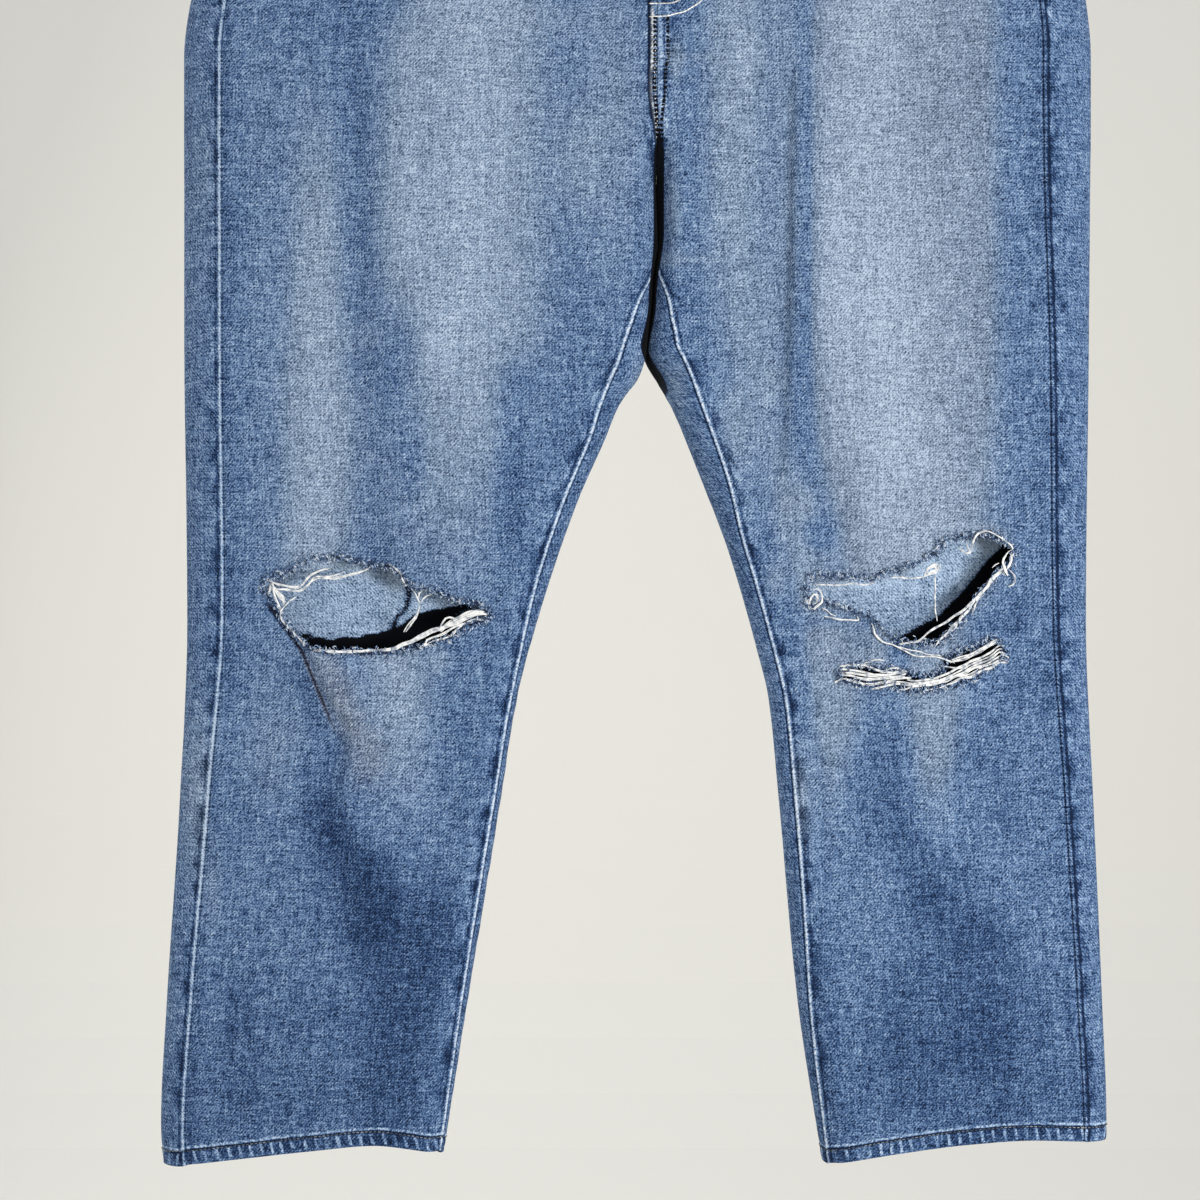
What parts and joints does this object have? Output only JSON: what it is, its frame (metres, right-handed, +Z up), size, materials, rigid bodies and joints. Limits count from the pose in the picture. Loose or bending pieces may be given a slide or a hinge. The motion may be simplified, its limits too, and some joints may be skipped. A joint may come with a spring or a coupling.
{
  "type": "ripped jeans",
  "caption": "Faded straight-leg jeans with torn knees, hanging hollow from the waistband, open at waist and hems.",
  "frame": {"origin": "middle of the waistband's top edge, where the jeans are held up", "axes": "+Z up along the hanging garment, front faces -Y, +X towards the wearer's left"},
  "size_m": [0.6474, 0.0574, 0.97],
  "materials": {
    "denim": "light blue washed cotton twill, matt",
    "thread": "matt cotton sewing thread and bare weft",
    "brass": "worn antique brass"
  },
  "bodies": {
    "root": {"front_right": "denim", "front_left": "denim", "back_right": "denim", "back_left": "denim", "yoke_right": "denim", "yoke_left": "denim", "waistband": "denim", "belt_loop_1": "denim", "belt_loop_2": "denim", "belt_loop_3": "denim", "belt_loop_4": "denim", "belt_loop_5": "denim", "back_pocket_right": "denim", "back_pocket_left": "denim", "pocket_facing_right": "denim", "pocket_facing_left": "denim", "zip": "brass", "fly_shield": "denim", "button": "brass"}
  },
  "joints": []
}
